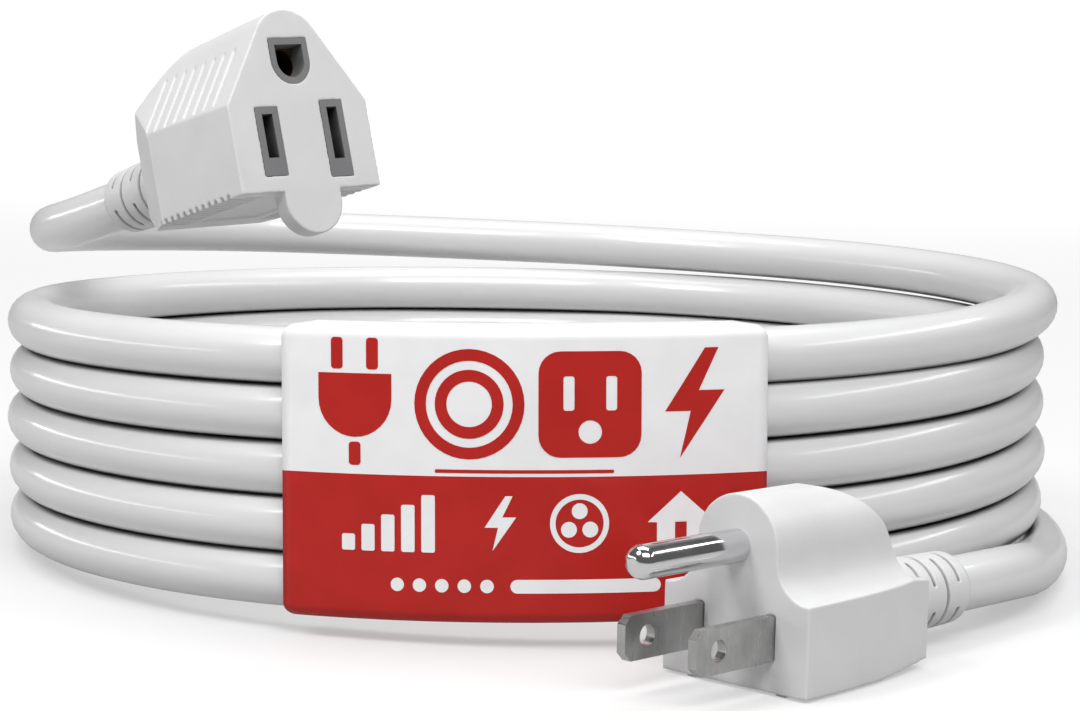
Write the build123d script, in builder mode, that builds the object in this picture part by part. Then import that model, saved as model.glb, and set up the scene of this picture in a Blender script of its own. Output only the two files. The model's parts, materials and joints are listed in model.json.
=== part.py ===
from build123d import *
import math
import os

# A three-core extension cord, about 10 ft long, coiled and sleeved for sale.
# Frame: origin on the floor at the centre of the coil, +Z up, plug towards -Y.

os.makedirs("parts", exist_ok=True)

# ---------------------------------------------------------------- driving dimensions (mm)
CORD_D = 8.6
CORD_R = CORD_D / 2
TURNS = 5
PITCH = 8.3
COIL_R = 86.0
COIL_LEAN = 1.9
STACK_H = (TURNS - 1) * PITCH + CORD_D

BAND_GAP = 0.35
BAND_WALL = 0.4
BAND_HALF_ANGLE = 23.0
BAND_CORNER_R = 2.0
FRONT = -90.0

# Standard 15 A grounded plug and socket
BLADE_SPACING = 12.7
BLADE_W = 6.35
BLADE_T = 1.5
BLADE_L = 16.2
BLADE_HOLE_R = 1.55
BLADE_HOLE_BACK = 4.5
BLADE_CHAMFER = 1.2
PIN_UP = 11.9
PIN_R = 2.38
PIN_L = 21.4
SLOT_T = 2.0
LINE_SLOT_W = 7.0
NEUTRAL_SLOT_W = 8.4
GROUND_SLOT_W = 5.3

# Strain reliefs
RELIEF_R = 5.9
RELIEF_L = 18.0
SLIT_W = 0.8
SLIT_DEPTH = 1.1
SLIT_STEP = 3.1
SLIT_ROWS = 5
SLIT_ARC = 140.0

# Cores and crimps
CORE_R = 1.4
CORE_RING = 1.65
CORE_LEAD = 3.0
STRAND_R = 0.75
CRIMP_R = 1.35
CRIMP_L = 5.0

# Plug body
PLUG_L = 31.0
PLUG_HALF_W = 13.0
PLUG_REAR_HALF_W = 10.3
PLUG_BOTTOM = -7.6
PLUG_SHOULDER = 5.2
PLUG_BOSS_R = 7.2
PLUG_FOOT = 0.4
PLUG_JACKET_FRONT = -PLUG_L + 1.0
PLUG_TERMINAL_BACK = -9.5
PLUG_CRIMP_BACK = PLUG_TERMINAL_BACK - CRIMP_L
BRIDGE_FRONT = -3.0
BRIDGE_BACK = -9.0

# Connector body
SOCKET_L = 35.0
SOCKET_HALF_W = 13.5
SOCKET_REAR_HALF_W = 8.2
SOCKET_BOTTOM = -9.0
SOCKET_SHOULDER = 5.2
SOCKET_CROWN_R = 6.5
SOCKET_CROWN_Y = 13.8
SOCKET_JACKET_FRONT = -SOCKET_L + 1.0
INSERT_FRONT = -1.5
INSERT_BACK = -17.0
INSERT_W = 22.0
INSERT_H = 14.0
CONTACT_FRONT = -3.0
CONTACT_BACK = -15.5
SOCKET_CRIMP_BACK = CONTACT_BACK - CRIMP_L
LEAF_T = 0.5
LEAF_GAP = 1.3
LEAF_W = 5.8
GROUND_BORE_R = 2.45
GROUND_WALL = 0.55
TAB_R = 5.4
TAB_Y = -10.6
TAB_T = 3.2
GRIP_COUNT = 8
GRIP_STEP = 2.9
GRIP_W = 0.7
GRIP_DEPTH = 0.45
COMB_COUNT = 12
COMB_STEP = 1.9
COMB_X = 10.6
COMB_LENGTH = 7.0
COMB_DEPTH = 0.8
PAD_W = 11.0
PAD_L = 18.0
PAD_DEPTH = 0.4

# Poses of the two ends. Each has its origin on its face, midway between blades or slots,
# z out of the face and y up.
PLUG_AXIS_Z = 8.0
PLUG_HEADING = -134.0
PLUG_RELIEF_END = Vector(63.0, -75.0, PLUG_AXIS_Z)
SOCKET_HEADING = -49.5
SOCKET_RISE = 15.0
SOCKET_ROLL = 2.5
SOCKET_RELIEF_END = Vector(-70.0, -7.5, 59.0)
EXIT_RUN = 18.0


def direction(heading, rise=0.0):
    flat = math.cos(math.radians(rise))
    return Vector(
        flat * math.cos(math.radians(heading)),
        flat * math.sin(math.radians(heading)),
        math.sin(math.radians(rise)),
    )


def end_plane(origin, forward, roll=0.0):
    level = Vector(0, 0, 1).cross(forward).normalized()
    side = level.rotate(Axis((0, 0, 0), forward), roll)
    return Plane(origin=origin, x_dir=side, z_dir=forward)


plug_forward = direction(PLUG_HEADING)
plug_face = end_plane(PLUG_RELIEF_END + plug_forward * (PLUG_L + RELIEF_L), plug_forward)
socket_forward = direction(SOCKET_HEADING, SOCKET_RISE)
socket_face = end_plane(
    SOCKET_RELIEF_END + socket_forward * (SOCKET_L + RELIEF_L), socket_forward, SOCKET_ROLL
)


def side_plane(face):
    """The plane of an end's axis and its up direction: x runs out of the face, y up."""
    return Plane(origin=face.origin, x_dir=face.z_dir, z_dir=face.z_dir.cross(face.y_dir))


def plan_plane(face):
    """The plane of an end's axis and its width: x runs out of the face, y across."""
    return Plane(origin=face.origin, x_dir=face.z_dir, z_dir=face.y_dir)


def axis_section(face, angle):
    """A half plane through an end's axis: x is the radius, y runs out of the face."""
    a = math.radians(angle)
    radial = face.x_dir * math.cos(a) + face.y_dir * math.sin(a)
    return Plane(origin=face.origin, x_dir=radial, z_dir=radial.cross(face.z_dir))


def save(part, name):
    part.label = name
    export_step(part, f"parts/{name}.step")


# ---------------------------------------------------------------- coil
# The coil rests on its left and back, and rises over its own tail at the front right,
# so its plane leans a little.
coil_up = Vector(-COIL_LEAN / COIL_R, COIL_LEAN / COIL_R, 1).normalized()
coil_foot = Vector(0, 0, COIL_LEAN * math.sqrt(2))
coil_plane = Plane(origin=coil_foot, x_dir=Vector(1, 0, COIL_LEAN / COIL_R), z_dir=coil_up)
coil_axis = Axis(coil_foot, coil_up)


def coil_section(angle):
    """A half plane through the coil's axis: x is the radius, y the height."""
    a = math.radians(angle)
    radial = coil_plane.x_dir * math.cos(a) + coil_plane.y_dir * math.sin(a)
    return Plane(origin=coil_foot, x_dir=radial, z_dir=radial.cross(coil_up))


with BuildPart() as cord_coil:
    with BuildSketch(coil_section(0)):
        with Locations((COIL_R, STACK_H / 2)):
            SlotOverall(STACK_H, CORD_D, rotation=90)
    revolve(axis=coil_axis, revolution_arc=360)
save(cord_coil.part, "cord_coil")

# ---------------------------------------------------------------- label band
band_inner = 2 * BAND_GAP
band_outer = 2 * (BAND_GAP + BAND_WALL)
with BuildPart() as label_band:
    with BuildSketch(coil_section(FRONT - BAND_HALF_ANGLE)):
        with Locations((COIL_R, STACK_H / 2)):
            RectangleRounded(CORD_D + band_outer, STACK_H + band_outer, BAND_CORNER_R)
            RectangleRounded(
                CORD_D + band_inner,
                STACK_H + band_inner,
                BAND_CORNER_R - BAND_WALL,
                mode=Mode.SUBTRACT,
            )
    revolve(axis=coil_axis, revolution_arc=2 * BAND_HALF_ANGLE)
save(label_band.part, "label_band")


# ---------------------------------------------------------------- cord tails
def corner_radii(points):
    """0.45 of each corner's shorter run, divided by the tangent of half its turn."""
    radii = []
    for before, here, after in zip(points, points[1:], points[2:]):
        turn = (here - before).get_angle(after - here)
        shorter = min((here - before).length, (after - here).length)
        radii.append(0.45 * shorter / math.tan(math.radians(turn / 2)))
    return radii


def make_tube(points, radius):
    """A round tube along straight runs joined by tangent arcs, and its length."""
    with BuildLine() as route:
        FilletPolyline(*points, radius=corner_radii(points))
    with BuildPart() as tube:
        with BuildSketch(route.line ^ 0):
            Circle(radius)
        sweep(path=route.line)
    return tube.part, route.wire().length


def report_tube(name, part, length, points):
    ideal = math.pi * CORD_R**2 * length
    print(name, "radii", [round(r) for r in corner_radii(points)])
    print(name, "length", round(length, 1), "volume ratio", round(part.volume / ideal, 4))


# The tail of the bottom turn, from under the coil's right side to the plug's strain relief.
plug_tail_points = [
    Vector(79.8, 32.2, 4.4),
    Vector(88.6, 5.5, 4.4),
    Vector(90.4, -20.0, 4.5),
    Vector(86.0, -42.5, 5.0),
    PLUG_RELIEF_END - plug_forward * EXIT_RUN,
    PLUG_RELIEF_END,
]
plug_tail, plug_tail_length = make_tube(plug_tail_points, CORD_R)
report_tube("plug_tail", plug_tail, plug_tail_length, plug_tail_points)
save(plug_tail, "plug_tail")

# The half turn on top of the coil, which lifts off at the back and curls to the connector.
connector_tail_points = [
    Vector(77.0, -40.5, 44.0),
    Vector(90.2, 3.0, 45.8),
    Vector(70.5, 57.5, 46.2),
    Vector(23.5, 88.0, 46.5),
    Vector(-22.0, 93.5, 47.2),
    Vector(-57.0, 88.5, 48.0),
    Vector(-79.5, 71.0, 49.0),
    Vector(-90.5, 48.0, 50.2),
    Vector(-90.0, 25.5, 51.6),
    SOCKET_RELIEF_END - socket_forward * EXIT_RUN,
    SOCKET_RELIEF_END,
]
connector_tail, connector_tail_length = make_tube(connector_tail_points, CORD_R)
report_tube("connector_tail", connector_tail, connector_tail_length, connector_tail_points)
save(connector_tail, "connector_tail")


# ---------------------------------------------------------------- pieces that both ends share
def make_jacket_end(face, back, front):
    """The straight end of the cord's jacket, inside the strain relief."""
    with BuildPart() as jacket:
        with BuildSketch(face.offset(back)):
            Circle(CORD_R)
        extrude(amount=front - back)
    return jacket.part


def make_relief(face, body_length):
    """A tapered sleeve with rows of slits, by turns at the sides and above and below."""
    front = -body_length
    back = front - RELIEF_L
    with BuildPart() as relief:
        with BuildSketch(axis_section(face, 0)):
            with BuildLine():
                Polyline(
                    (CORD_R, front),
                    (RELIEF_R, front),
                    (RELIEF_R - 0.4, back + 1.0),
                    (RELIEF_R - 0.9, back),
                    (CORD_R, back),
                    close=True,
                )
            make_face()
        revolve(axis=Axis(face.origin, face.z_dir), revolution_arc=360)
        for row in range(SLIT_ROWS):
            middle = 90 * (row % 2 + 1)
            for side in (middle, middle + 180):
                with BuildSketch(axis_section(face, side - SLIT_ARC / 2)):
                    with Locations((RELIEF_R, front - SLIT_STEP * (row + 0.75))):
                        Rectangle(2 * SLIT_DEPTH, SLIT_W)
                revolve(
                    axis=Axis(face.origin, face.z_dir),
                    revolution_arc=SLIT_ARC,
                    mode=Mode.SUBTRACT,
                )
    return relief.part


def make_core(face, ring_angle, target, back, front):
    """One insulated core, from its place in the cord's bundle to its crimp."""
    a = math.radians(ring_angle)
    bundle = (CORE_RING * math.cos(a), CORE_RING * math.sin(a))
    points = [
        face.from_local_coords((*bundle, back)),
        face.from_local_coords((*bundle, back + CORE_LEAD)),
        face.from_local_coords((*target, front - CORE_LEAD)),
        face.from_local_coords((*target, front)),
    ]
    return make_tube([Vector(p) for p in points], CORE_R)[0]


def make_strands(face, target, back, front):
    """Bared copper strands inside a crimp."""
    with BuildPart() as strands:
        with BuildSketch(face.offset(back)):
            with Locations(target):
                Circle(STRAND_R)
        extrude(amount=front - back)
    return strands.part


def make_crimp(face, target, terminal_back):
    """The crimp barrel behind a terminal, open for the strands."""
    with BuildPart() as crimp:
        with BuildSketch(face.offset(terminal_back - CRIMP_L)):
            with Locations(target):
                Circle(CRIMP_R)
                Circle(STRAND_R, mode=Mode.SUBTRACT)
        extrude(amount=CRIMP_L)
    return crimp.part


POLES = ["line", "neutral", "ground"]
core_angles = {"line": -30.0, "neutral": 210.0, "ground": 90.0}

# ---------------------------------------------------------------- plug
plug_places = {
    "line": (BLADE_SPACING / 2, 0.0),
    "neutral": (-BLADE_SPACING / 2, 0.0),
    "ground": (0.0, PIN_UP),
}


def make_blade(place):
    """A flat blade with clipped corners, a hole near its tip and a crimp at its back."""
    half = BLADE_W / 2
    crimp = make_crimp(plug_face, place, PLUG_TERMINAL_BACK)
    with BuildPart() as blade:
        with BuildSketch(side_plane(plug_face).offset(-place[0])):
            with BuildLine():
                Polyline(
                    (PLUG_TERMINAL_BACK, -half),
                    (BLADE_L - BLADE_CHAMFER, -half),
                    (BLADE_L, -half + BLADE_CHAMFER),
                    (BLADE_L, half - BLADE_CHAMFER),
                    (BLADE_L - BLADE_CHAMFER, half),
                    (PLUG_TERMINAL_BACK, half),
                    close=True,
                )
            make_face()
            with Locations((BLADE_L - BLADE_HOLE_BACK, 0)):
                Circle(BLADE_HOLE_R, mode=Mode.SUBTRACT)
        extrude(amount=BLADE_T / 2, both=True)
        add(crimp)
    return blade.part


plug_terminals = {
    "line": make_blade(plug_places["line"]),
    "neutral": make_blade(plug_places["neutral"]),
}

pin_crimp = make_crimp(plug_face, plug_places["ground"], PLUG_TERMINAL_BACK)
with BuildPart() as plug_ground_pin:
    with BuildSketch(plug_face):
        with Locations(plug_places["ground"]):
            Circle(PIN_R)
    extrude(amount=PIN_L)
    pin_tip = plug_ground_pin.faces().sort_by(Axis(plug_face.origin, plug_face.z_dir))[-1]
    fillet(pin_tip.edges(), PIN_R * 0.8)
    # A thicker shank inside the body, with a flange at its back.
    with BuildSketch(plug_face.offset(BRIDGE_BACK)):
        with Locations(plug_places["ground"]):
            Circle(PIN_R + 0.25)
    extrude(amount=-BRIDGE_BACK)
    with BuildSketch(plug_face.offset(PLUG_TERMINAL_BACK)):
        with Locations(plug_places["ground"]):
            Circle(PIN_R + 0.6)
    extrude(amount=BRIDGE_BACK - PLUG_TERMINAL_BACK)
    add(pin_crimp)
plug_terminals["ground"] = plug_ground_pin.part
save(plug_terminals["line"], "plug_line_blade")
save(plug_terminals["neutral"], "plug_neutral_blade")
save(plug_terminals["ground"], "plug_ground_pin")

with BuildPart() as plug_bridge:
    with BuildSketch(plug_face.offset(BRIDGE_BACK)):
        with Locations((0, -0.5)):
            RectangleRounded(20.0, 9.0, 1.0)
        with Locations((0, 9.0)):
            RectangleRounded(9.0, 14.0, 1.0)
    extrude(amount=BRIDGE_FRONT - BRIDGE_BACK)
    for terminal in plug_terminals.values():
        add(terminal, mode=Mode.SUBTRACT)
save(plug_bridge.part, "plug_bridge")

plug_inner = [plug_bridge.part, *plug_terminals.values()]
for pole in POLES:
    core = make_core(
        plug_face, core_angles[pole], plug_places[pole], PLUG_JACKET_FRONT, PLUG_CRIMP_BACK
    )
    strands = make_strands(plug_face, plug_places[pole], PLUG_CRIMP_BACK, PLUG_TERMINAL_BACK)
    plug_inner.extend([core, strands])
    save(core, f"plug_{pole}_core")
    save(strands, f"plug_{pole}_strands")

plug_jacket_end = make_jacket_end(plug_face, -PLUG_L - RELIEF_L, PLUG_JACKET_FRONT)
plug_inner.append(plug_jacket_end)
save(plug_jacket_end, "plug_jacket_end")
save(make_relief(plug_face, PLUG_L), "plug_strain_relief")

BOSS_TOP = PIN_UP + PLUG_BOSS_R
FLARE_R = PLUG_HALF_W - 0.4 - PLUG_BOSS_R
with BuildPart() as plug_body:
    # Front outline: a low block, with a round-topped boss that flares into its shoulders.
    with BuildSketch(plug_face):
        with BuildLine():
            Polyline(
                (-PLUG_HALF_W + 0.4, PLUG_SHOULDER),
                (-PLUG_HALF_W, PLUG_SHOULDER),
                (-PLUG_HALF_W, PLUG_BOTTOM),
                (PLUG_HALF_W, PLUG_BOTTOM),
                (PLUG_HALF_W, PLUG_SHOULDER),
                (PLUG_HALF_W - 0.4, PLUG_SHOULDER),
            )
            RadiusArc(
                (PLUG_HALF_W - 0.4, PLUG_SHOULDER),
                (PLUG_BOSS_R, PLUG_SHOULDER + FLARE_R),
                FLARE_R,
            )
            Line((PLUG_BOSS_R, PLUG_SHOULDER + FLARE_R), (PLUG_BOSS_R, PIN_UP))
            ThreePointArc((PLUG_BOSS_R, PIN_UP), (0, BOSS_TOP), (-PLUG_BOSS_R, PIN_UP))
            Line((-PLUG_BOSS_R, PIN_UP), (-PLUG_BOSS_R, PLUG_SHOULDER + FLARE_R))
            RadiusArc(
                (-PLUG_BOSS_R, PLUG_SHOULDER + FLARE_R),
                (-PLUG_HALF_W + 0.4, PLUG_SHOULDER),
                FLARE_R,
            )
        make_face()
    extrude(amount=-PLUG_L)
    # Side outline: the boss runs level, then rounds down to the block.
    with BuildSketch(side_plane(plug_face)):
        with BuildLine():
            Polyline(
                (-PLUG_L, PLUG_SHOULDER - 0.3),
                (-PLUG_L, PLUG_BOTTOM + 1.0),
                (-PLUG_L * 0.6, PLUG_BOTTOM),
                (0, PLUG_BOTTOM),
                (0, BOSS_TOP),
                (-PLUG_L * 0.5, BOSS_TOP - 0.3),
            )
            ThreePointArc(
                (-PLUG_L * 0.5, BOSS_TOP - 0.3),
                (-PLUG_L * 0.73, BOSS_TOP - 4.0),
                (-PLUG_L * 0.86, PLUG_SHOULDER + 0.3),
            )
            Line((-PLUG_L * 0.86, PLUG_SHOULDER + 0.3), (-PLUG_L, PLUG_SHOULDER - 0.3))
        make_face()
    extrude(amount=PLUG_HALF_W * 2, both=True, mode=Mode.INTERSECT)
    # Plan outline: slightly bowed sides that draw in towards the back.
    with BuildSketch(plan_plane(plug_face)):
        with BuildLine():
            Polyline(
                (-PLUG_L, -PLUG_REAR_HALF_W),
                (-PLUG_L, PLUG_REAR_HALF_W),
            )
            ThreePointArc(
                (-PLUG_L, PLUG_REAR_HALF_W),
                (-PLUG_L / 2, PLUG_HALF_W - 0.7),
                (0, PLUG_HALF_W),
            )
            Line((0, PLUG_HALF_W), (0, -PLUG_HALF_W))
            ThreePointArc(
                (0, -PLUG_HALF_W),
                (-PLUG_L / 2, -PLUG_HALF_W + 0.7),
                (-PLUG_L, -PLUG_REAR_HALF_W),
            )
        make_face()
    extrude(amount=BOSS_TOP * 2, both=True, mode=Mode.INTERSECT)
    # Two small feet under the face's lower edge.
    with BuildSketch(plug_face.offset(-1.8)):
        with Locations((-8.0, PLUG_BOTTOM), (8.0, PLUG_BOTTOM)):
            Rectangle(1.8, 2 * PLUG_FOOT)
    extrude(amount=1.2)
    for piece in plug_inner:
        add(piece, mode=Mode.SUBTRACT)
save(plug_body.part, "plug_body")

# ---------------------------------------------------------------- connector
socket_places = {
    "line": (-BLADE_SPACING / 2, 0.0),
    "neutral": (BLADE_SPACING / 2, 0.0),
    "ground": (0.0, PIN_UP),
}


def make_leaf_contact(place):
    """Two brass leaves joined by a web, with a crimp behind it."""
    crimp = make_crimp(socket_face, place, CONTACT_BACK)
    with BuildPart() as contact:
        with BuildSketch(socket_face.offset(CONTACT_BACK)):
            with Locations(place):
                Rectangle(LEAF_GAP + 2 * LEAF_T, LEAF_W)
        extrude(amount=CONTACT_FRONT - CONTACT_BACK)
        with BuildSketch(socket_face.offset(CONTACT_BACK + LEAF_T)):
            with Locations(place):
                Rectangle(LEAF_GAP, LEAF_W * 1.2)
        extrude(amount=CONTACT_FRONT - CONTACT_BACK, mode=Mode.SUBTRACT)
        add(crimp)
    return contact.part


ground_place = socket_places["ground"]
ground_crimp = make_crimp(socket_face, ground_place, CONTACT_BACK)
with BuildPart() as ground_contact:
    with BuildSketch(socket_face.offset(CONTACT_BACK)):
        with Locations(ground_place):
            Circle(GROUND_BORE_R + GROUND_WALL)
    extrude(amount=CONTACT_FRONT - CONTACT_BACK)
    with BuildSketch(socket_face.offset(CONTACT_BACK + LEAF_T)):
        with Locations(ground_place):
            Circle(GROUND_BORE_R)
    extrude(amount=CONTACT_FRONT - CONTACT_BACK, mode=Mode.SUBTRACT)
    # The slit that lets the tube spring open.
    with BuildSketch(socket_face.offset(CONTACT_BACK + 3.0)):
        with Locations((0, PIN_UP - GROUND_BORE_R - GROUND_WALL)):
            Rectangle(0.8, 3 * GROUND_WALL)
    extrude(amount=CONTACT_FRONT - CONTACT_BACK, mode=Mode.SUBTRACT)
    add(ground_crimp)

contacts = {
    "line": make_leaf_contact(socket_places["line"]),
    "neutral": make_leaf_contact(socket_places["neutral"]),
    "ground": ground_contact.part,
}
for pole in POLES:
    save(contacts[pole], f"connector_{pole}_contact")

socket_wires = []
for pole in POLES:
    place = socket_places[pole]
    core_angle = 180.0 - core_angles[pole]
    core = make_core(socket_face, core_angle, place, SOCKET_JACKET_FRONT, SOCKET_CRIMP_BACK)
    strands = make_strands(socket_face, place, SOCKET_CRIMP_BACK, CONTACT_BACK)
    socket_wires.extend([core, strands])
    save(core, f"connector_{pole}_core")
    save(strands, f"connector_{pole}_strands")

connector_jacket_end = make_jacket_end(socket_face, -SOCKET_L - RELIEF_L, SOCKET_JACKET_FRONT)
save(connector_jacket_end, "connector_jacket_end")
save(make_relief(socket_face, SOCKET_L), "connector_strain_relief")


# The grey inner moulding: a block with a raised land in each window of the white face.
WINDOW_HALF_W = 2.2
WINDOW_Y = -0.9
WINDOW_ROUND_R = 3.7
with BuildPart() as insert_envelope:
    with BuildSketch(socket_face.offset(INSERT_FRONT)):
        Rectangle(INSERT_W, INSERT_H)
        with Locations((0, 9.5)):
            RectangleRounded(11.0, 13.0, 2.0)
    extrude(amount=INSERT_BACK - INSERT_FRONT)
    with BuildSketch(socket_face.offset(INSERT_FRONT)):
        with Locations((socket_places["line"][0], WINDOW_Y)):
            Rectangle(2 * WINDOW_HALF_W, 11.0)
        with Locations((socket_places["neutral"][0], WINDOW_Y)):
            Rectangle(2 * WINDOW_HALF_W, 12.4)
        with Locations((0, PIN_UP)):
            Circle(WINDOW_ROUND_R)
        with Locations((0, PIN_UP + WINDOW_ROUND_R / 2)):
            Rectangle(2 * WINDOW_ROUND_R, WINDOW_ROUND_R)
    extrude(amount=-INSERT_FRONT)

with BuildPart() as connector_insert:
    add(insert_envelope.part)
    # Entries at the face.
    with BuildSketch(socket_face.offset(CONTACT_FRONT)):
        with Locations(socket_places["line"]):
            Rectangle(SLOT_T, LINE_SLOT_W)
        with Locations(socket_places["neutral"]):
            Rectangle(SLOT_T, NEUTRAL_SLOT_W)
        with Locations((0, PIN_UP)):
            Circle(GROUND_SLOT_W / 2)
        with Locations((0, PIN_UP + GROUND_SLOT_W / 4)):
            Rectangle(GROUND_SLOT_W, GROUND_SLOT_W / 2)
    extrude(amount=-CONTACT_FRONT, mode=Mode.SUBTRACT)
    # Chambers for the contacts, open at the back.
    with BuildSketch(socket_face.offset(INSERT_BACK)):
        with Locations(socket_places["line"], socket_places["neutral"]):
            Rectangle(LEAF_GAP + 2 * LEAF_T + 1.2, LEAF_W + 0.4)
        with Locations((0, PIN_UP)):
            Circle(GROUND_BORE_R + GROUND_WALL + 0.1)
    extrude(amount=CONTACT_FRONT - INSERT_BACK, mode=Mode.SUBTRACT)
save(connector_insert.part, "connector_insert")

SOCKET_TOP = SOCKET_CROWN_Y + SOCKET_CROWN_R
with BuildPart() as connector_body:
    # Front outline: flat lower sides, slanted upper sides and a round crown.
    with BuildSketch(socket_face):
        with Locations((0, (SOCKET_BOTTOM + SOCKET_SHOULDER) / 2)):
            Rectangle(2 * SOCKET_HALF_W, SOCKET_SHOULDER - SOCKET_BOTTOM)
        with Locations((0, SOCKET_CROWN_Y)):
            Circle(SOCKET_CROWN_R)
        make_hull()
    extrude(amount=-SOCKET_L)
    # Side outline: level, then rounding down to the strain relief.
    with BuildSketch(side_plane(socket_face)):
        with BuildLine():
            Polyline(
                (-SOCKET_L, 6.8),
                (-SOCKET_L, -6.2),
                (-SOCKET_L * 0.86, SOCKET_BOTTOM),
                (0, SOCKET_BOTTOM),
                (0, SOCKET_TOP),
                (-SOCKET_L * 0.62, SOCKET_TOP - 1.0),
            )
            ThreePointArc(
                (-SOCKET_L * 0.62, SOCKET_TOP - 1.0),
                (-SOCKET_L * 0.86, SOCKET_TOP - 6.5),
                (-SOCKET_L, 6.8),
            )
        make_face()
    extrude(amount=SOCKET_HALF_W * 2, both=True, mode=Mode.INTERSECT)
    # Plan outline: nearly straight sides, then a taper.
    with BuildSketch(plan_plane(socket_face)):
        Polygon(
            (0, SOCKET_HALF_W),
            (-SOCKET_L * 0.7, SOCKET_HALF_W - 0.6),
            (-SOCKET_L, SOCKET_REAR_HALF_W),
            (-SOCKET_L, -SOCKET_REAR_HALF_W),
            (-SOCKET_L * 0.7, -SOCKET_HALF_W + 0.6),
            (0, -SOCKET_HALF_W),
            align=None,
        )
    extrude(amount=SOCKET_TOP * 2, both=True, mode=Mode.INTERSECT)
    # Finger tab under the face.
    with BuildSketch(socket_face):
        with Locations((0, TAB_Y)):
            Circle(TAB_R)
        with Locations((0, (TAB_Y + SOCKET_BOTTOM) / 2 + 0.5)):
            Rectangle(2 * TAB_R, SOCKET_BOTTOM - TAB_Y + 1.0)
        with Locations((0, SOCKET_BOTTOM + TAB_R)):
            Rectangle(2 * TAB_R + 1.0, 2 * TAB_R, mode=Mode.SUBTRACT)
    extrude(amount=-TAB_T)
    # Shallow grip grooves across the slanted upper sides.
    for step in range(GRIP_COUNT):
        with BuildSketch(socket_face.offset(-5.0 - GRIP_STEP * step)):
            with Locations((0, (SOCKET_BOTTOM + SOCKET_SHOULDER) / 2)):
                Rectangle(2 * SOCKET_HALF_W, SOCKET_SHOULDER - SOCKET_BOTTOM)
            with Locations((0, SOCKET_CROWN_Y)):
                Circle(SOCKET_CROWN_R)
            make_hull()
            offset(amount=-GRIP_DEPTH, mode=Mode.SUBTRACT)
            with Locations((9.8, 10.6), (-9.8, 10.6)):
                Rectangle(6.0, 10.0, mode=Mode.INTERSECT)
        extrude(amount=GRIP_W, mode=Mode.SUBTRACT)
    # Comb of grooves across both lower edges, either side of a sunk pad.
    for step in range(COMB_COUNT):
        with BuildSketch(socket_face.offset(-4.8 - COMB_STEP * step)):
            with Locations((-COMB_X, SOCKET_BOTTOM), (COMB_X, SOCKET_BOTTOM)):
                Rectangle(COMB_LENGTH, 2 * COMB_DEPTH)
        extrude(amount=COMB_STEP / 2, mode=Mode.SUBTRACT)
    with BuildSketch(socket_face.offset(-24.0)):
        with Locations((0, SOCKET_BOTTOM)):
            Rectangle(PAD_W, 2 * PAD_DEPTH)
    extrude(amount=PAD_L, mode=Mode.SUBTRACT)
    add(insert_envelope.part, mode=Mode.SUBTRACT)
    for contact in contacts.values():
        add(contact, mode=Mode.SUBTRACT)
    for wire in socket_wires:
        add(wire, mode=Mode.SUBTRACT)
    add(connector_jacket_end, mode=Mode.SUBTRACT)
save(connector_body.part, "connector_body")
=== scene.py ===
import json
import math
import random

import bmesh
import bpy
from mathutils import Matrix, Vector


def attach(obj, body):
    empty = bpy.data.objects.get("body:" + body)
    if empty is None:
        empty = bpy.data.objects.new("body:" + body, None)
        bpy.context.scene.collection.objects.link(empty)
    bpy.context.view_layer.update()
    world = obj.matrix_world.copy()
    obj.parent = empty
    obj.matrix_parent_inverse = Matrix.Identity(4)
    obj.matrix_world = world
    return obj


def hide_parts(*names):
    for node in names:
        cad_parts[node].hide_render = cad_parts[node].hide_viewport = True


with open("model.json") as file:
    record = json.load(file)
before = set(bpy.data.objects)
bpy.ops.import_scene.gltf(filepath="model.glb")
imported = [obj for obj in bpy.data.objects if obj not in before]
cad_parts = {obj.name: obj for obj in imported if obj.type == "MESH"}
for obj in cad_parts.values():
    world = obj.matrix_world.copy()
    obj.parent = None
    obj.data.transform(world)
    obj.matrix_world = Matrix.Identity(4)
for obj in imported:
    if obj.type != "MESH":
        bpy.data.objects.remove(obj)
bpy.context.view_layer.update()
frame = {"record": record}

MM = 0.001
CORD_SET = "cord_set"
LABEL = "label"

# ---------------------------------------------------------------- frame
CORD_D = 8.6 * MM
PITCH = 8.3 * MM
TURNS = 5
COIL_R = 86 * MM
STACK_H = (TURNS - 1) * PITCH + CORD_D

joint = frame["record"]["behaviour"]["joints"][0]
coil_foot = Vector(joint["pos_m"])
coil_up = Vector(joint["axis"]).normalized()
coil_right = Vector((1, 0, 0)) - coil_up * coil_up.x
coil_right.normalize()
coil_back = coil_up.cross(coil_right)

mounts = {mount["name"]: mount for mount in frame["record"]["mounts"]}
plug_forward = Vector(mounts["plug_blades"]["axis"])
socket_forward = Vector(mounts["connector_slots"]["axis"])
plug_face = Vector(mounts["plug_blades"]["pos_m"])
socket_face = Vector(mounts["connector_slots"]["pos_m"])
PLUG_TO_RELIEF_END = 49 * MM
SOCKET_TO_RELIEF_END = 53 * MM
plug_relief_end = plug_face - plug_forward * PLUG_TO_RELIEF_END
socket_relief_end = socket_face - socket_forward * SOCKET_TO_RELIEF_END


# ---------------------------------------------------------------- material tools
def new_material(name, colour, roughness, metallic=0.0, coat=0.0, specular=0.5, coat_rough=0.12):
    """A Principled material with its even values set on the shader's own sockets."""
    material = bpy.data.materials.new(name)
    material.use_nodes = True
    shader = material.node_tree.nodes["Principled BSDF"]
    shader.inputs["Base Color"].default_value = (*colour, 1)
    shader.inputs["Roughness"].default_value = roughness
    shader.inputs["Metallic"].default_value = metallic
    shader.inputs["Coat Weight"].default_value = coat
    shader.inputs["Coat Roughness"].default_value = coat_rough
    shader.inputs["Specular IOR Level"].default_value = specular
    return material


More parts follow.
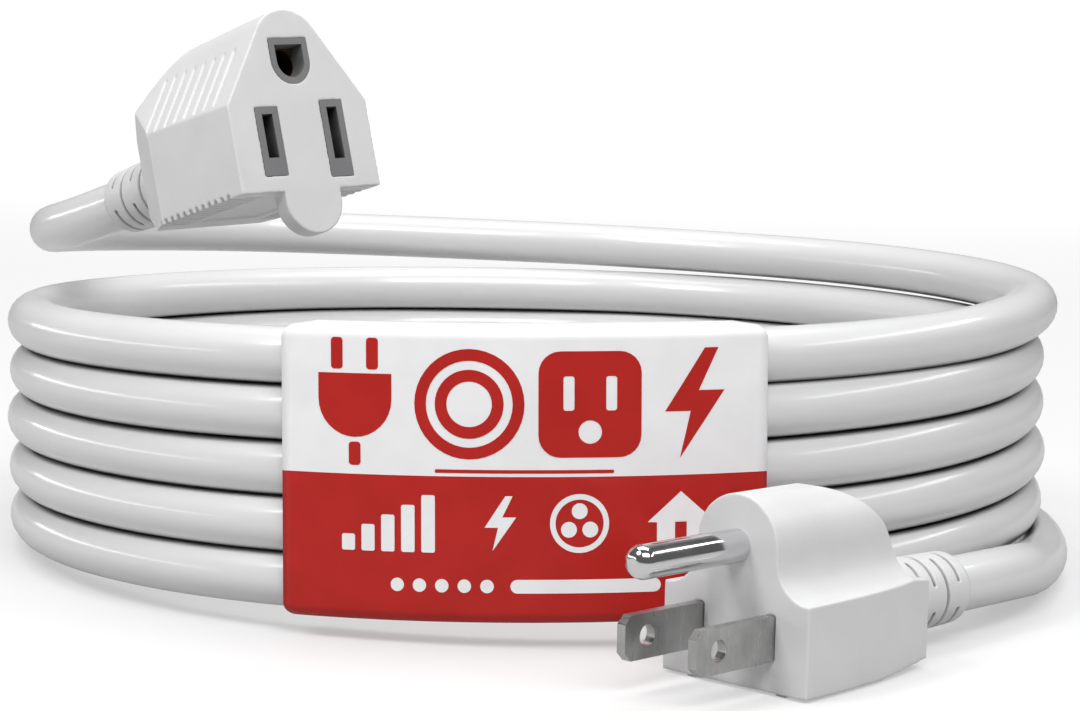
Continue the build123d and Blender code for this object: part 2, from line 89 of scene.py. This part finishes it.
def add_noise(material, scale, detail=3.0, stretch=(1, 1, 1), turn=0.0):
    """Noise in the object's own coordinates, stretched after a turn about Z."""
    nodes = material.node_tree.nodes
    links = material.node_tree.links
    place = nodes.new("ShaderNodeTexCoord")
    turned = nodes.new("ShaderNodeMapping")
    turned.inputs["Rotation"].default_value = (0, 0, turn)
    stretched = nodes.new("ShaderNodeMapping")
    stretched.inputs["Scale"].default_value = stretch
    noise = nodes.new("ShaderNodeTexNoise")
    noise.inputs["Scale"].default_value = scale
    noise.inputs["Detail"].default_value = detail
    links.new(place.outputs["Object"], turned.inputs["Vector"])
    links.new(turned.outputs["Vector"], stretched.inputs["Vector"])
    links.new(stretched.outputs["Vector"], noise.inputs["Vector"])
    return noise.outputs["Fac"]


def vary_roughness(material, value, low, high):
    """Roughness from low to high over the middle range of a noise."""
    nodes = material.node_tree.nodes
    links = material.node_tree.links
    spread = nodes.new("ShaderNodeMapRange")
    spread.inputs["From Min"].default_value = 0.3
    spread.inputs["From Max"].default_value = 0.7
    spread.inputs["To Min"].default_value = low
    spread.inputs["To Max"].default_value = high
    links.new(value, spread.inputs["Value"])
    links.new(spread.outputs["Result"], nodes["Principled BSDF"].inputs["Roughness"])


def vary_colour(material, value, colour_a, colour_b):
    """Base colour from one to the other over the middle range of a noise."""
    nodes = material.node_tree.nodes
    links = material.node_tree.links
    ramp = nodes.new("ShaderNodeValToRGB")
    ramp.color_ramp.elements[0].position = 0.35
    ramp.color_ramp.elements[0].color = (*colour_a, 1)
    ramp.color_ramp.elements[1].position = 0.65
    ramp.color_ramp.elements[1].color = (*colour_b, 1)
    links.new(value, ramp.inputs["Fac"])
    links.new(ramp.outputs["Color"], nodes["Principled BSDF"].inputs["Base Color"])


# The sockets that a Mix node uses for colours.
MIX_FACTOR = 0
MIX_A = 6
MIX_B = 7
MIX_RESULT = 2
# How open a point is, from 0 to 1, where the painted shade is full and where it ends.
CREASE_CLOSED = 0.15
CREASE_OPEN = 0.75


def darken_creases(material, reach, dark):
    """Painted shade: base colour darkened where the piece nearly touches itself, within a reach in
    metres.
    """
    nodes = material.node_tree.nodes
    links = material.node_tree.links
    near = nodes.new("ShaderNodeAmbientOcclusion")
    near.only_local = True
    near.samples = 16
    near.inputs["Distance"].default_value = reach
    spread = nodes.new("ShaderNodeMapRange")
    spread.inputs["From Min"].default_value = CREASE_CLOSED
    spread.inputs["From Max"].default_value = CREASE_OPEN
    blend = nodes.new("ShaderNodeMix")
    blend.data_type = "RGBA"
    blend.inputs[MIX_A].default_value = (dark, dark, dark, 1)
    surface = nodes["Principled BSDF"].inputs["Base Color"]
    links.new(surface.links[0].from_socket, blend.inputs[MIX_B])
    links.new(near.outputs["AO"], spread.inputs["Value"])
    links.new(spread.outputs["Result"], blend.inputs[MIX_FACTOR])
    links.new(blend.outputs[MIX_RESULT], surface)


def add_bump(material, values, distances):
    """Bumps stacked on each other, each with its own height in metres."""
    nodes = material.node_tree.nodes
    links = material.node_tree.links
    normal = None
    for value, distance in zip(values, distances):
        bump = nodes.new("ShaderNodeBump")
        bump.inputs["Distance"].default_value = distance
        links.new(value, bump.inputs["Height"])
        if normal is not None:
            links.new(normal, bump.inputs["Normal"])
        normal = bump.outputs["Normal"]
    links.new(normal, nodes["Principled BSDF"].inputs["Normal"])


# ---------------------------------------------------------------- materials
def jacket_pvc():
    """Glossy white PVC, with the faint unevenness of an extruded jacket over twisted cores, and painted
    shade in the creases between its turns.
    """
    material = new_material("jacket_pvc", (0.72, 0.72, 0.725), 0.3, coat=0.5, coat_rough=0.09)
    swell = add_noise(material, 45, detail=0.0)
    skin = add_noise(material, 1800, detail=2.0)
    tone = add_noise(material, 45, detail=2.0)
    vary_colour(material, tone, (0.675, 0.675, 0.675), (0.69, 0.69, 0.695))
    # painted shade: base colour darkened in the creases between the turns
    darken_creases(material, 1.7 * MM, 0.03)
    vary_roughness(material, add_noise(material, 120, detail=1.0), 0.285, 0.35)
    add_bump(material, [swell, skin], [0.08 * MM, 0.0012 * MM])
    return material


def moulded_vinyl(name, colour_a, colour_b, low, high, painted_shade_reach=0.0, painted_shade_dark=0.1):
    """Satin moulded vinyl with a fine spark-eroded grain, and painted shade darkening its slits where it
    has them.
    """
    material = new_material(name, colour_b, 0.42, specular=0.45)
    grain = add_noise(material, 3200, detail=2.0)
    flow = add_noise(material, 120, detail=3.0)
    vary_colour(material, flow, colour_a, colour_b)
    # painted shade: base colour darkened inside the slits, where the surface nearly touches itself
    if painted_shade_reach:
        darken_creases(material, painted_shade_reach, painted_shade_dark)
    vary_roughness(material, add_noise(material, 500), low, high)
    add_bump(material, [flow, grain], [0.05 * MM, 0.02 * MM])
    return material


def brushed_nickel(turn):
    """Nickel-plated brass, brushed across the blade, with soft darker stains."""
    material = new_material("brushed_nickel", (0.5, 0.5, 0.495), 0.3, metallic=1.0)
    lines = add_noise(material, 300, detail=4.0, stretch=(6, 1, 0.5), turn=turn)
    stains = add_noise(material, 210, detail=3.0)
    vary_colour(material, stains, (0.40, 0.40, 0.395), (0.50, 0.50, 0.495))
    vary_roughness(material, lines, 0.24, 0.38)
    add_bump(material, [lines], [0.006 * MM])
    return material


def bright_pin():
    """Polished plated pin with faint turning marks."""
    material = new_material("bright_pin", (0.74, 0.74, 0.75), 0.1, metallic=1.0)
    haze = add_noise(material, 300, detail=4.0)
    vary_roughness(material, haze, 0.06, 0.18)
    add_bump(material, [add_noise(material, 1500, detail=2.0)], [0.0008 * MM])
    return material


def plain_metal(name, colour, low, high):
    """Bare metal with a faint haze."""
    material = new_material(name, colour, low, metallic=1.0)
    haze = add_noise(material, 400, detail=4.0)
    vary_roughness(material, haze, low, high)
    add_bump(material, [haze], [0.01 * MM])
    return material


def printed_card(name, colour_a, colour_b):
    """Glossy printed card: ink with a slight mottle over a fine fibre."""
    material = new_material(name, colour_b, 0.36, coat=0.06, specular=0.28)
    mottle = add_noise(material, 160, detail=4.0)
    fibre = add_noise(material, 2600, detail=3.0)
    vary_colour(material, mottle, colour_a, colour_b)
    vary_roughness(material, fibre, 0.32, 0.42)
    add_bump(material, [mottle, fibre], [0.03 * MM, 0.003 * MM])
    return material


plug_heading = math.atan2(plug_forward.y, plug_forward.x)
JACKET = jacket_pvc()
OVERMOULD = moulded_vinyl("overmould", (0.64, 0.64, 0.645), (0.67, 0.67, 0.675), 0.38, 0.5)
# painted shade in the strain relief's slits
RELIEF = moulded_vinyl(
    "relief_vinyl", (0.61, 0.61, 0.615), (0.65, 0.65, 0.655), 0.4, 0.52, painted_shade_reach=0.9 * MM
)
# painted shade, nearly black, inside the insert's slots
INSERT = moulded_vinyl(
    "insert_grey", (0.17, 0.17, 0.175), (0.19, 0.19, 0.195), 0.45, 0.6, painted_shade_reach=4 * MM, painted_shade_dark=0.01
)
BRIDGE = moulded_vinyl("bridge_grey", (0.05, 0.05, 0.05), (0.07, 0.07, 0.07), 0.5, 0.65)
NICKEL = brushed_nickel(-plug_heading)
PIN = bright_pin()
# the brass colour is darkened as painted shade for the contacts that sit inside the connector's slots
PAINTED_SHADE_BRASS = plain_metal("contact_brass", (0.22, 0.165, 0.09), 0.3, 0.45)
COPPER = plain_metal("strand_copper", (0.78, 0.40, 0.24), 0.25, 0.4)
CORE_BLACK = moulded_vinyl("core_black", (0.012, 0.012, 0.012), (0.02, 0.02, 0.02), 0.3, 0.4)
CORE_WHITE = moulded_vinyl("core_white", (0.66, 0.66, 0.64), (0.72, 0.72, 0.70), 0.3, 0.4)
CORE_GREEN = moulded_vinyl("core_green", (0.01, 0.14, 0.035), (0.015, 0.2, 0.05), 0.3, 0.4)
CARD_WHITE = printed_card("card_white", (0.81, 0.81, 0.82), (0.85, 0.85, 0.86))
CARD_RED = printed_card("card_red", (0.43, 0.011, 0.007), (0.47, 0.013, 0.009))

NODE_MATERIALS = {
    "cord_coil": JACKET,
    "plug_tail": JACKET,
    "connector_tail": JACKET,
    "plug_jacket_end": JACKET,
    "connector_jacket_end": JACKET,
    "plug_bridge": BRIDGE,
    "connector_insert": INSERT,
    "plug_line_blade": NICKEL,
    "plug_neutral_blade": NICKEL,
    "plug_ground_pin": PIN,
}
for pole, insulation in (("line", CORE_BLACK), ("neutral", CORE_WHITE), ("ground", CORE_GREEN)):
    NODE_MATERIALS[f"connector_{pole}_contact"] = PAINTED_SHADE_BRASS
    for end in ("plug", "connector"):
        NODE_MATERIALS[f"{end}_{pole}_core"] = insulation
        NODE_MATERIALS[f"{end}_{pole}_strands"] = COPPER

for node, material in NODE_MATERIALS.items():
    for material_slot in bpy.data.objects[node].material_slots:
        material_slot.material = material


# ---------------------------------------------------------------- cord
RAMP_START = math.radians(135)
RAMP_LENGTH = math.radians(225)
RAMP_POWER = 1.25
COIL_FIRST = math.radians(45)
COIL_LAST = math.radians(307) + (TURNS - 1) * math.tau
COIL_STEPS = 74
LOOSE_SEED = 7
LOOSE_OUT_FRONT = 0.25 * MM
LOOSE_OUT_BACK = 1.0 * MM
LOOSE_UP = 0.1 * MM
HELD_DOWN = 0.5 * MM


def ramp_height(angle):
    """Height of the cord's middle: one pitch a turn, gained from the left back to the right."""
    full_turns = math.floor((angle - RAMP_START) / math.tau)
    part = (angle - RAMP_START) / math.tau - full_turns
    rise = min(part * math.tau / RAMP_LENGTH, 1.0) ** RAMP_POWER
    return CORD_D / 2 + PITCH * (full_turns + rise)


def coil_points():
    """Control points of the turns, a little loose except where the sleeve holds them.

    Control points lie a little outside the curve that they shape, so the coil's radius is enlarged
    for them. The last one is held down a little more, because the sleeve slides over it.
    """
    loose = random.Random(LOOSE_SEED)
    step = (COIL_LAST - COIL_FIRST) / COIL_STEPS
    points = []
    for index in range(COIL_STEPS + 1):
        angle = COIL_FIRST + step * index
        towards_back = (1 + math.sin(angle)) / 2
        freedom = LOOSE_OUT_FRONT + (LOOSE_OUT_BACK - LOOSE_OUT_FRONT) * towards_back
        radius = COIL_R / (0.75 + 0.25 * math.cos(step))
        radius += loose.uniform(-1, 1) * freedom
        height = ramp_height(angle) + loose.uniform(-LOOSE_UP, LOOSE_UP)
        centre = coil_foot + coil_up * (height - coil_foot.z)
        across = centre.x + radius * math.cos(angle)
        back = centre.y + radius * math.sin(angle)
        points.append(Vector((across, back, height)))
    points[-1].z -= HELD_DOWN
    return points


EXIT_RUN = 18 * MM
INTO_RELIEF = 3 * MM
plug_tail_points = [
    plug_relief_end + plug_forward * INTO_RELIEF,
    plug_relief_end - plug_forward * EXIT_RUN,
    Vector((83, -41.5, 5.0)) * MM,
    Vector((88.6, -20, 4.3)) * MM,
    Vector((89.8, 5.5, 4.3)) * MM,
    Vector((81, 33, 4.3)) * MM,
]
connector_tail_points = [
    Vector((78, -40.5, 44.2)) * MM,
    Vector((91, 3, 46)) * MM,
    Vector((71, 57.5, 46.3)) * MM,
    Vector((23.5, 88, 46.6)) * MM,
    Vector((-22, 93.5, 47.2)) * MM,
    Vector((-57, 88.5, 48)) * MM,
    Vector((-79.5, 71, 49)) * MM,
    Vector((-90.5, 48, 50.2)) * MM,
    Vector((-90, 25.5, 51.6)) * MM,
    socket_relief_end - socket_forward * EXIT_RUN,
    socket_relief_end + socket_forward * INTO_RELIEF,
]


def make_cord():
    points = plug_tail_points + coil_points() + connector_tail_points
    points.reverse()
    curve = bpy.data.curves.new("cord", "CURVE")
    curve.dimensions = "3D"
    spline = curve.splines.new("NURBS")
    spline.points.add(len(points) - 1)
    for control, point in zip(spline.points, points):
        control.co = (*point, 1)
    spline.order_u = 3
    spline.use_endpoint_u = True
    spline.resolution_u = 12
    curve.bevel_depth = CORD_D / 2
    curve.bevel_resolution = 10
    curve.use_fill_caps = True
    curve.materials.append(JACKET)
    cord = bpy.data.objects.new("cord", curve)
    bpy.context.collection.objects.link(cord)
    return cord


cord = make_cord()
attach(cord, CORD_SET)
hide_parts("cord_coil", "plug_tail", "connector_tail")


# ---------------------------------------------------------------- moulded ends
PIN_SEAL_R = 3.2 * MM
PIN_SEAL_DEPTH = 5 * MM


def close_round_pin(mesh):
    """The vinyl closes right up to the ground pin where the pin comes out of the plug's face."""
    pin_middle = Vector(mounts["ground_pin"]["pos_m"])
    pin_root = pin_middle - plug_forward * (pin_middle - plug_face).dot(plug_forward)
    seal = bmesh.new()
    seal.from_mesh(mesh)
    bmesh.ops.create_cone(
        seal,
        cap_ends=True,
        segments=48,
        radius1=PIN_SEAL_R,
        radius2=PIN_SEAL_R,
        depth=PIN_SEAL_DEPTH,
        matrix=Matrix.Translation(pin_root - plug_forward * PIN_SEAL_DEPTH / 2)
        @ plug_forward.to_track_quat("Z", "Y").to_matrix().to_4x4(),
    )
    seal.to_mesh(mesh)
    seal.free()


def moulded_copy(node, name, material, voxel, rounding, keep):
    """A copy of a node with its edges rounded as a moulded part's are, which replaces it."""
    piece = bpy.data.objects.new(name, bpy.data.objects[node].data.copy())
    bpy.context.collection.objects.link(piece)
    piece.data.materials.clear()
    piece.data.materials.append(material)
    remesh = piece.modifiers.new("even_mesh", "REMESH")
    remesh.mode = "VOXEL"
    remesh.voxel_size = voxel
    remesh.use_smooth_shade = True
    smooth = piece.modifiers.new("round_edges", "SMOOTH")
    smooth.factor = 0.5
    smooth.iterations = rounding
    thin = piece.modifiers.new("thin", "DECIMATE")
    thin.ratio = keep
    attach(piece, CORD_SET)
    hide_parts(node)
    return piece


plug_moulding = moulded_copy(
    "plug_body", "plug_moulding", OVERMOULD, 0.2 * MM, 6, 0.3
)
close_round_pin(plug_moulding.data)
moulded_copy("connector_body", "connector_moulding", OVERMOULD, 0.2 * MM, 4, 0.4)
moulded_copy("plug_strain_relief", "plug_relief", RELIEF, 0.14 * MM, 2, 0.5)
moulded_copy("connector_strain_relief", "connector_relief", RELIEF, 0.14 * MM, 2, 0.5)


# ---------------------------------------------------------------- outlines of card and signs
# The corners of a box, anticlockwise from the upper right: (side, end).
CORNERS = ((1, 1), (-1, 1), (-1, -1), (1, -1))


def rounded_corner(x, y, r, quarter, steps):
    """The arc of one corner, anticlockwise about its own centre; quarter 0 is at the upper right."""
    angles = [math.pi / 2 * (quarter + step / steps) for step in range(steps + 1)]
    return [(x + r * math.cos(angle), y + r * math.sin(angle)) for angle in angles]


def disc(x, y, r, count=40):
    angles = [math.tau * i / count for i in range(count)]
    return [(x + r * math.cos(angle), y + r * math.sin(angle)) for angle in angles]


def rounded_box(x, y, width, height, r, steps=6):
    points = []
    for quarter, (side, end) in enumerate(CORNERS):
        corner_x = x + side * (width / 2 - r)
        corner_y = y + end * (height / 2 - r)
        points += rounded_corner(corner_x, corner_y, r, quarter, steps)
    return points


# ---------------------------------------------------------------- printed sleeve
SLEEVE_GAP = 0.35 * MM
CARD_T = 0.4 * MM
SLEEVE_HALF_ANGLE = math.radians(23)
SLEEVE_CORNER_R = 2 * MM
PANEL_CORNER_R = 1.8 * MM
FOLD_STEPS = 8
CARD_COLUMNS = 48
SLEEVE_MIDDLE = STACK_H / 2
SLEEVE_HALF_H = STACK_H / 2 + SLEEVE_GAP + CARD_T
SLEEVE_HALF_T = CORD_D / 2 + SLEEVE_GAP + CARD_T
FRONT_R = COIL_R + SLEEVE_HALF_T
FRONT_HEADING = math.radians(-90)


def on_coil(heading, radius, height):
    """A point at a heading and radius about the coil's axis, and a height along it."""
    radial = coil_right * math.cos(heading) + coil_back * math.sin(heading)
    return coil_foot + radial * radius + coil_up * height


def sleeve_profile():
    """The sleeve's section, once round from the middle of its front: (out, height) from its centre."""
    ring = rounded_box(0, 0, 2 * SLEEVE_HALF_T, 2 * SLEEVE_HALF_H, SLEEVE_CORNER_R, FOLD_STEPS)
    upper_half = len(ring) // 2
    return [(SLEEVE_HALF_T, 0.0), *ring[:upper_half], (-SLEEVE_HALF_T, 0.0), *ring[upper_half:]]


def sleeve_half_angle(out, height):
    """The panel's full width in front, drawn in round its corners and over the folds."""
    straight = SLEEVE_HALF_H - SLEEVE_CORNER_R
    into_corner = (abs(height) - straight) / SLEEVE_CORNER_R
    if out < SLEEVE_HALF_T - SLEEVE_CORNER_R:
        into_corner = 1.0
    into_corner = min(max(into_corner, 0.0), 1.0)
    inset = PANEL_CORNER_R * (1 - math.sqrt(1 - into_corner**2))
    return SLEEVE_HALF_ANGLE - inset / FRONT_R


def bent_card(name, rows, closed):
    """Card bent round the coil, its thickness added behind its faces.

    Each row is (half angle, radius, height), and runs from left to right as seen from the front.
    """
    vertices = []
    for half, radius, height in rows:
        for column in range(CARD_COLUMNS + 1):
            heading = FRONT_HEADING + half * (2 * column / CARD_COLUMNS - 1)
            vertices.append(on_coil(heading, radius, height))
    faces = []
    width = CARD_COLUMNS + 1
    for row in range(len(rows) if closed else len(rows) - 1):
        after = (row + 1) % len(rows)
        for column in range(CARD_COLUMNS):
            corner = row * width + column
            next_corner = after * width + column
            faces.append((corner, corner + 1, next_corner + 1, next_corner))
    mesh = bpy.data.meshes.new(name)
    mesh.from_pydata(vertices, [], faces)
    mesh.materials.append(CARD_WHITE)
    for polygon in mesh.polygons:
        polygon.use_smooth = True
    piece = bpy.data.objects.new(name, mesh)
    bpy.context.collection.objects.link(piece)
    card = piece.modifiers.new("card", "SOLIDIFY")
    card.thickness = CARD_T
    card.offset = -1
    return piece


def make_sleeve():
    """The folded card, white above its middle and red below."""
    profile = sleeve_profile()
    rows = [
        (sleeve_half_angle(out, height), COIL_R + out, SLEEVE_MIDDLE + height) for out, height in profile
    ]
    sleeve = bent_card("printed_sleeve", rows, closed=True)
    sleeve.data.materials.append(CARD_RED)
    for index, polygon in enumerate(sleeve.data.polygons):
        row = index // CARD_COLUMNS
        after = (row + 1) % len(profile)
        polygon.material_index = int(profile[row][1] + profile[after][1] < 0)
    return sleeve


sleeve = make_sleeve()
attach(sleeve, LABEL)
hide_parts("label_band")


FLAP_LOW = -3 * MM
FLAP_HIGH = 9 * MM
FLAP_INSET = 1.5 * MM
FLAP_STEPS = 6
GLUE_T = 0.02 * MM


def make_flap():
    """The end of the card, glued over itself on the side that faces the coil's middle."""
    rows = []
    for step in range(FLAP_STEPS + 1):
        height = FLAP_LOW + (FLAP_HIGH - FLAP_LOW) * step / FLAP_STEPS
        inset = PANEL_CORNER_R + FLAP_INSET * (1 - step / FLAP_STEPS) ** 2
        half = SLEEVE_HALF_ANGLE - inset / FRONT_R
        rows.append((half, COIL_R - SLEEVE_HALF_T - GLUE_T - CARD_T, SLEEVE_MIDDLE + height))
    rows.reverse()
    return bent_card("sleeve_flap", rows, closed=False)


flap = make_flap()
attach(flap, LABEL)


# ---------------------------------------------------------------- print
def plug_sign():
    prongs = [rounded_box(side * 2.7, 7.1, 1.8, 4.6, 0.5) for side in (-1, 1)]
    half_round = [math.pi * (1 + i / 16) for i in range(17)]
    bowl = [(5.6 * math.cos(angle), 0.5 + 5.6 * math.sin(angle)) for angle in half_round]
    lead = rounded_box(0, -7.5, 1.8, 3.4, 0.5)
    return [*prongs, [(-5.6, 4.2), *bowl, (5.6, 4.2)], lead]


def coil_sign():
    return [disc(0, 0, r) for r in (8, 6.3, 5.0, 3.3)]


def outlet_sign():
    slots = [rounded_box(side * 3.1, 1.6, 1.6, 5, 0.4) for side in (-1, 1)]
    return [rounded_box(0, 0, 15, 15.4, 3.2), *slots, disc(0, -4, 1.7)]


def bolt_sign():
    return [[(1.5, 8), (-4.5, -1.2), (-0.6, -1.2), (-2.2, -8), (4.6, 1.8), (0.6, 1.8), (3.6, 8)]]


def bars_sign():
    return [rounded_box(-6 + 3 * i, -3 + 0.75 * i, 2, 2.4 + 1.5 * i, 0.3) for i in range(5)]


def cores_sign():
    cores = [disc(x, y, 1.15) for x, y in ((-1.55, -0.9), (1.55, -0.9), (0, 1.8))]
    return [disc(0, 0, 4.3), disc(0, 0, 3.5), *cores]


def house_sign():
    walls = [(0, 4.4), (-5, 0), (-3.6, 0), (-3.6, -4), (3.6, -4), (3.6, 0), (5, 0)]
    return [walls, rounded_box(0, -2, 1.8, 4, 0.1)]


def dots_sign():
    return [disc(-6 + 3 * i, 0, 0.9, 20) for i in range(5)]


def placed(outlines, x, y, scale=1.0):
    """Outlines moved to their place on the panel, in its own millimetres from its middle."""
    return [[(x + scale * px, y + scale * py) for px, py in outline] for outline in outlines]


INK_T = 0.05 * MM
INK_INTO_CARD = 0.02 * MM
INK_STEP = 2.2 * MM
INK_MERGE = 0.001 * MM


def make_print(name, outlines, material):
    """Flat outlines in the panel's own millimetres, wrapped round its front as a layer of ink."""
    curve = bpy.data.curves.new(name, "CURVE")
    curve.dimensions = "2D"
    curve.fill_mode = "BOTH"
    for outline in outlines:
        spline = curve.splines.new("POLY")
        spline.points.add(len(outline) - 1)
        for control, (x, y) in zip(spline.points, outline):
            control.co = (x * MM, y * MM, 0, 1)
        spline.use_cyclic_u = True
    flat = bpy.data.objects.new(name, curve)
    bpy.context.collection.objects.link(flat)
    bpy.context.view_layer.update()
    mesh = bpy.data.meshes.new_from_object(flat)
    bpy.data.objects.remove(flat)
    work = bmesh.new()
    work.from_mesh(mesh)
    bmesh.ops.remove_doubles(work, verts=work.verts, dist=INK_MERGE)
    reach = int(FRONT_R * SLEEVE_HALF_ANGLE / INK_STEP) + 1
    for step in range(-reach, reach + 1):
        bmesh.ops.bisect_plane(
            work,
            geom=work.verts[:] + work.edges[:] + work.faces[:],
            plane_co=(step * INK_STEP, 0, 0),
            plane_no=(1, 0, 0),
        )
    for vertex in work.verts:
        heading = FRONT_HEADING + vertex.co.x / FRONT_R
        vertex.co = on_coil(heading, FRONT_R + INK_T, SLEEVE_MIDDLE + vertex.co.y)
    bmesh.ops.recalc_face_normals(work, faces=work.faces)
    outward = coil_right * math.cos(FRONT_HEADING) + coil_back * math.sin(FRONT_HEADING)
    for face in work.faces:
        if face.normal.dot(outward) < 0:
            face.normal_flip()
    work.to_mesh(mesh)
    work.free()
    mesh.materials.clear()
    mesh.materials.append(material)
    piece = bpy.data.objects.new(name, mesh)
    bpy.context.collection.objects.link(piece)
    layer = piece.modifiers.new("layer", "SOLIDIFY")
    layer.thickness = INK_T + INK_INTO_CARD
    layer.offset = -1
    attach(piece, LABEL)
    return piece


UPPER_ROW = 10.5
LOWER_ROW = -6.8
FOOT_ROW = -16

red_signs = [
    *placed(plug_sign(), -25, UPPER_ROW),
    *placed(coil_sign(), -8, UPPER_ROW),
    *placed(outlet_sign(), 9.5, UPPER_ROW),
    *placed(bolt_sign(), 25, UPPER_ROW),
    rounded_box(0, 0.75, 26, 0.5, 0.2),
]
white_signs = [
    *placed(bars_sign(), -20, -7),
    *placed(bolt_sign(), -3.5, LOWER_ROW, 0.5),
    *placed(cores_sign(), 8, LOWER_ROW),
    *placed(house_sign(), 23, LOWER_ROW),
    *placed(dots_sign(), -12, FOOT_ROW, 1.1),
    rounded_box(9, FOOT_ROW, 22, 2.0, 1.0),
]
make_print("print_red", red_signs, CARD_RED)
make_print("print_white", white_signs, CARD_WHITE)


# ---------------------------------------------------------------- stage, light and camera
STAGE_WHITE = (0.42, 0.42, 0.42)
STAGE_GLOW_START = 0.05
STAGE_GLOW_END = 1.6
STAGE_GLOW_NEAR = 0.42
STAGE_GLOW_FAR = 0.95
STAGE_GLOW_ON_OBJECT = 0.2


def glow_with_distance(material):
    """The stage gives off some light, more towards the backdrop, and little of it falls elsewhere."""
    nodes = material.node_tree.nodes
    links = material.node_tree.links
    place = nodes.new("ShaderNodeTexCoord")
    split = nodes.new("ShaderNodeSeparateXYZ")
    spread = nodes.new("ShaderNodeMapRange")
    spread.interpolation_type = "SMOOTHSTEP"
    spread.inputs["From Min"].default_value = STAGE_GLOW_START
    spread.inputs["From Max"].default_value = STAGE_GLOW_END
    spread.inputs["To Min"].default_value = STAGE_GLOW_NEAR
    spread.inputs["To Max"].default_value = STAGE_GLOW_FAR
    ray = nodes.new("ShaderNodeLightPath")
    spill = nodes.new("ShaderNodeMapRange")
    spill.inputs["To Min"].default_value = STAGE_GLOW_ON_OBJECT
    strength = nodes.new("ShaderNodeMath")
    strength.operation = "MULTIPLY"
    shader = nodes["Principled BSDF"]
    shader.inputs["Emission Color"].default_value = (1, 1, 1, 1)
    links.new(place.outputs["Object"], split.inputs["Vector"])
    links.new(split.outputs["Y"], spread.inputs["Value"])
    links.new(ray.outputs["Is Camera Ray"], spill.inputs["Value"])
    links.new(spread.outputs["Result"], strength.inputs[0])
    links.new(spill.outputs["Result"], strength.inputs[1])
    links.new(strength.outputs["Value"], shader.inputs["Emission Strength"])


def make_stage():
    """A pale floor that curves up into a backdrop."""
    half_width = 4.0
    front = -3.0
    bend = 2.2
    bend_r = 0.8
    bend_steps = 16
    top = 3.0
    line = [(front, 0.0), (bend, 0.0)]
    for step in range(1, bend_steps + 1):
        angle = math.pi / 2 * step / bend_steps
        line.append((bend + bend_r * math.sin(angle), bend_r * (1 - math.cos(angle))))
    line.append((bend + bend_r, top))
    vertices = [(x, y, z) for y, z in line for x in (-half_width, half_width)]
    faces = [(2 * i, 2 * i + 1, 2 * i + 3, 2 * i + 2) for i in range(len(line) - 1)]
    mesh = bpy.data.meshes.new("stage_floor")
    mesh.from_pydata(vertices, [], faces)
    for polygon in mesh.polygons:
        polygon.use_smooth = True
    material = new_material("stage_white", STAGE_WHITE, 0.6, specular=0.1)
    glow_with_distance(material)
    mesh.materials.append(material)
    floor = bpy.data.objects.new("stage_floor", mesh)
    bpy.context.collection.objects.link(floor)


def add_area_light(name, place, target, width, height, power):
    """A soft box at a place, facing its target; sizes in metres, power in watts."""
    light = bpy.data.lights.new(name, "AREA")
    light.shape = "RECTANGLE"
    light.size = width
    light.size_y = height
    light.energy = power
    lamp = bpy.data.objects.new(name, light)
    lamp.location = place
    aim = Vector(target) - Vector(place)
    lamp.rotation_euler = aim.to_track_quat("-Z", "Y").to_euler()
    bpy.context.collection.objects.link(lamp)


COIL_MIDDLE = (0, 0, 0.03)
make_stage()
add_area_light("top_soft", (0.0, 0.2, 0.95), COIL_MIDDLE, 0.9, 0.5, 5.2)
add_area_light("left_box", (-0.57, -0.4, 0.82), COIL_MIDDLE, 0.3, 0.4, 4.2)
add_area_light("left_strip", (-0.8, 0.1, 0.13), COIL_MIDDLE, 1.1, 0.05, 0.9)
add_area_light("right_strip", (0.75, 0.05, 0.58), COIL_MIDDLE, 0.9, 0.08, 1.3)
add_area_light("front_soft", (0.25, -0.95, 1.15), (0, 0, 0.04), 1.2, 0.5, 15.5)

world = bpy.data.worlds.new("studio")
world.use_nodes = True
world.node_tree.nodes["Background"].inputs["Color"].default_value = (1, 1, 1, 1)
world.node_tree.nodes["Background"].inputs["Strength"].default_value = 0.12
bpy.context.scene.world = world
bpy.context.scene.view_settings.view_transform = "Standard"

CAMERA_PLACE = (0, -0.4807, 0.0869)
CAMERA_LENS = 91.2
CAMERA_TILT = math.radians(6.38)
CAMERA_YAW = math.radians(0.2)
CAMERA_ROLL = math.radians(1.38)
camera_data = bpy.data.cameras.new("camera")
camera_data.sensor_width = 36
camera_data.lens = CAMERA_LENS
camera_data.clip_start = 0.02
camera = bpy.data.objects.new("camera", camera_data)
camera.matrix_world = (
    Matrix.Translation(CAMERA_PLACE)
    @ Matrix.Rotation(-CAMERA_YAW, 4, "Z")
    @ Matrix.Rotation(math.pi / 2 - CAMERA_TILT, 4, "X")
    @ Matrix.Rotation(CAMERA_ROLL, 4, "Z")
)
bpy.context.collection.objects.link(camera)
bpy.context.scene.camera = camera
